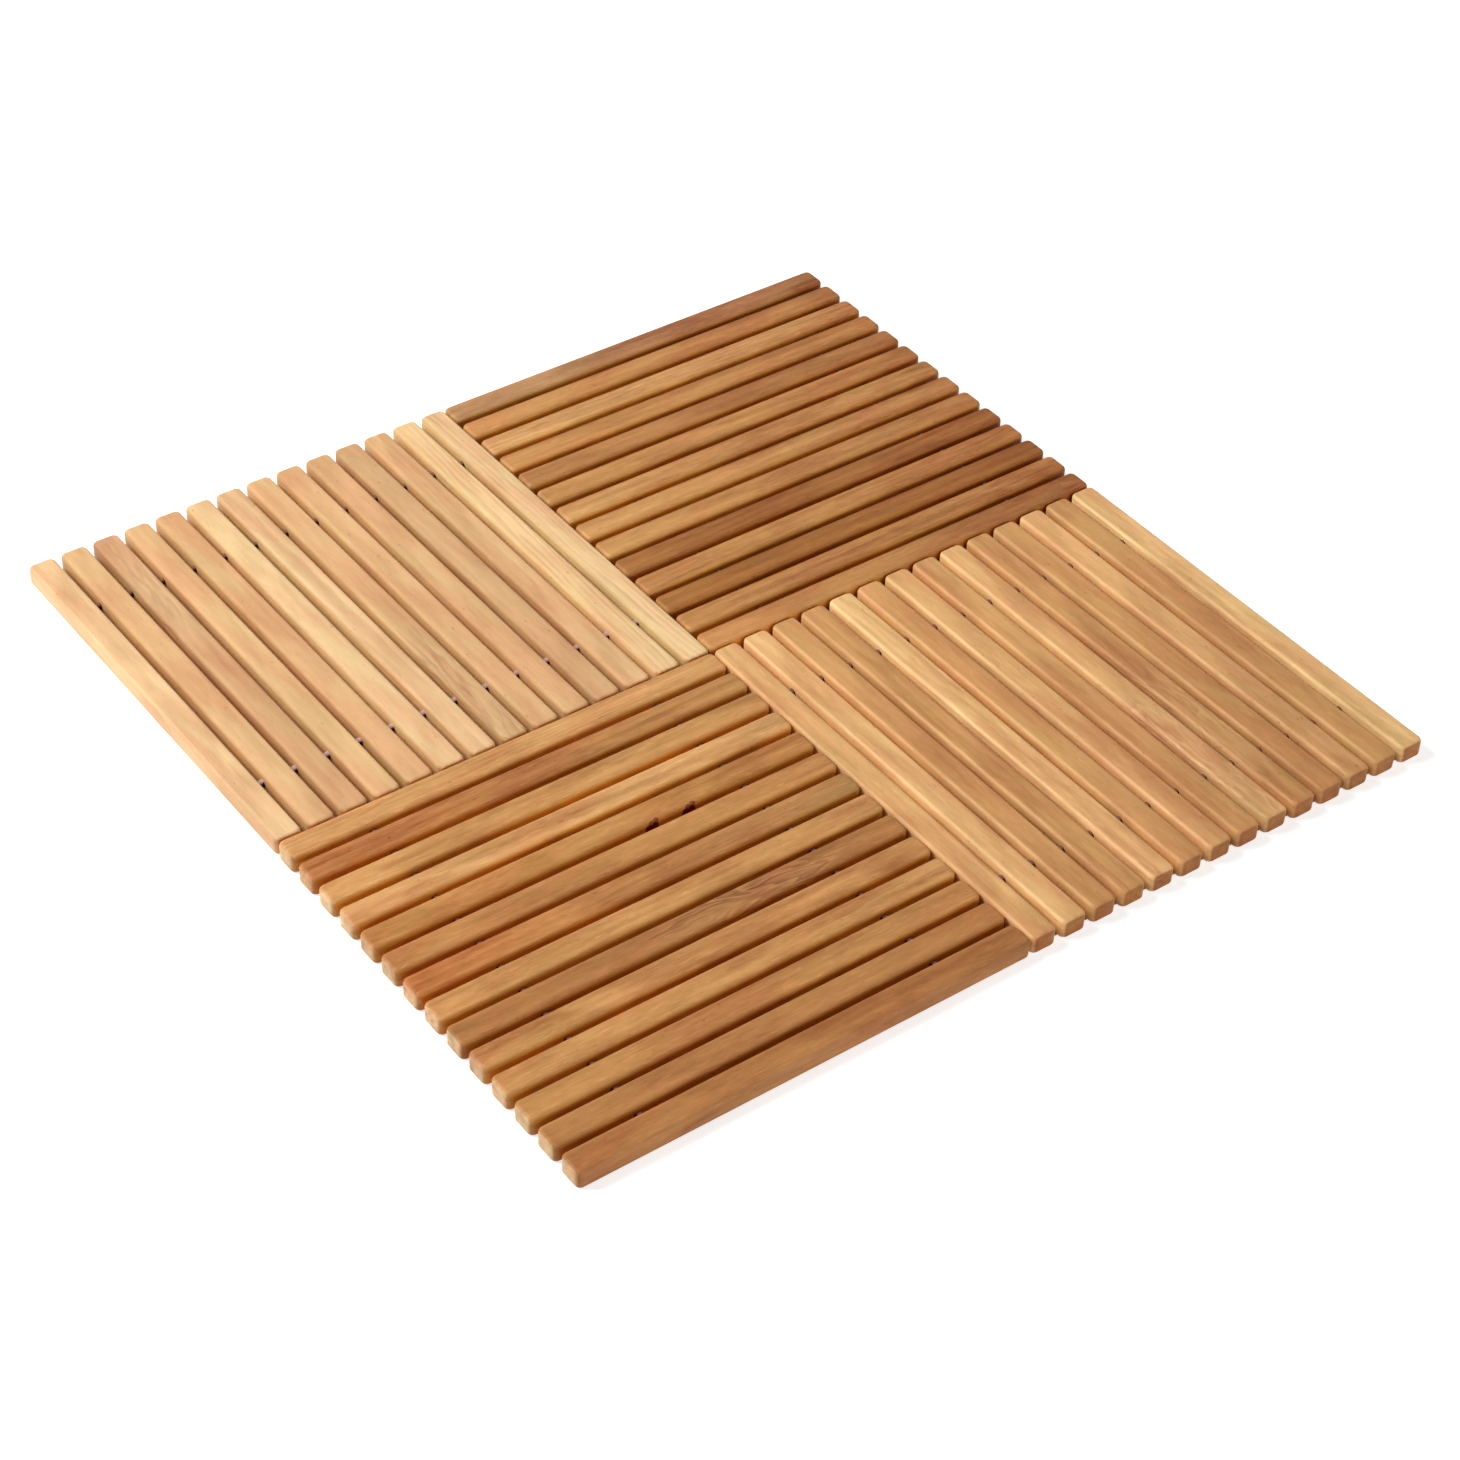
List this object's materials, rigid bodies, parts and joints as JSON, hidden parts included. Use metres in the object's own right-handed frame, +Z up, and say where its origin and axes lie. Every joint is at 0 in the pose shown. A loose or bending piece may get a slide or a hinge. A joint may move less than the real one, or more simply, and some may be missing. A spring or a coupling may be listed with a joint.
{
  "type": "slatted bath mat",
  "caption": "Square flat bath mat of eased teak slats in basket-weave panels, threaded on hidden rods with small rubber spacers in the gaps.",
  "frame": {"origin": "centre of the mat, on the plane it rests on", "axes": "+Z up through the thickness, +X and +Y along the two sides of the square"},
  "size_m": [0.611, 0.611, 0.013],
  "materials": {
    "teak": "sanded and oiled",
    "rod_steel": "drawn",
    "spacer_rubber": "matt"
  },
  "bodies": {
    "root": {"front_slat_01": "teak", "front_slat_02": "teak", "front_slat_03": "teak", "front_slat_04": "teak", "front_slat_05": "teak", "front_slat_06": "teak", "front_slat_07": "teak", "front_slat_08": "teak", "front_slat_09": "teak", "front_slat_10": "teak", "front_slat_11": "teak", "front_slat_12": "teak", "front_slat_13": "teak", "front_slat_14": "teak", "right_slat_01": "teak", "right_slat_02": "teak", "right_slat_03": "teak", "right_slat_04": "teak", "right_slat_05": "teak", "right_slat_06": "teak", "right_slat_07": "teak", "right_slat_08": "teak", "right_slat_09": "teak", "right_slat_10": "teak", "right_slat_11": "teak", "right_slat_12": "teak", "right_slat_13": "teak", "right_slat_14": "teak", "back_slat_01": "teak", "back_slat_02": "teak", "back_slat_03": "teak", "back_slat_04": "teak", "back_slat_05": "teak", "back_slat_06": "teak", "back_slat_07": "teak", "back_slat_08": "teak", "back_slat_09": "teak", "back_slat_10": "teak", "back_slat_11": "teak", "back_slat_12": "teak", "back_slat_13": "teak", "back_slat_14": "teak", "left_slat_01": "teak", "left_slat_02": "teak", "left_slat_03": "teak", "left_slat_04": "teak", "left_slat_05": "teak", "left_slat_06": "teak", "left_slat_07": "teak", "left_slat_08": "teak", "left_slat_09": "teak", "left_slat_10": "teak", "left_slat_11": "teak", "left_slat_12": "teak", "left_slat_13": "teak", "left_slat_14": "teak", "tie_rods": "rod_steel", "gap_spacers": "spacer_rubber"}
  },
  "joints": []
}
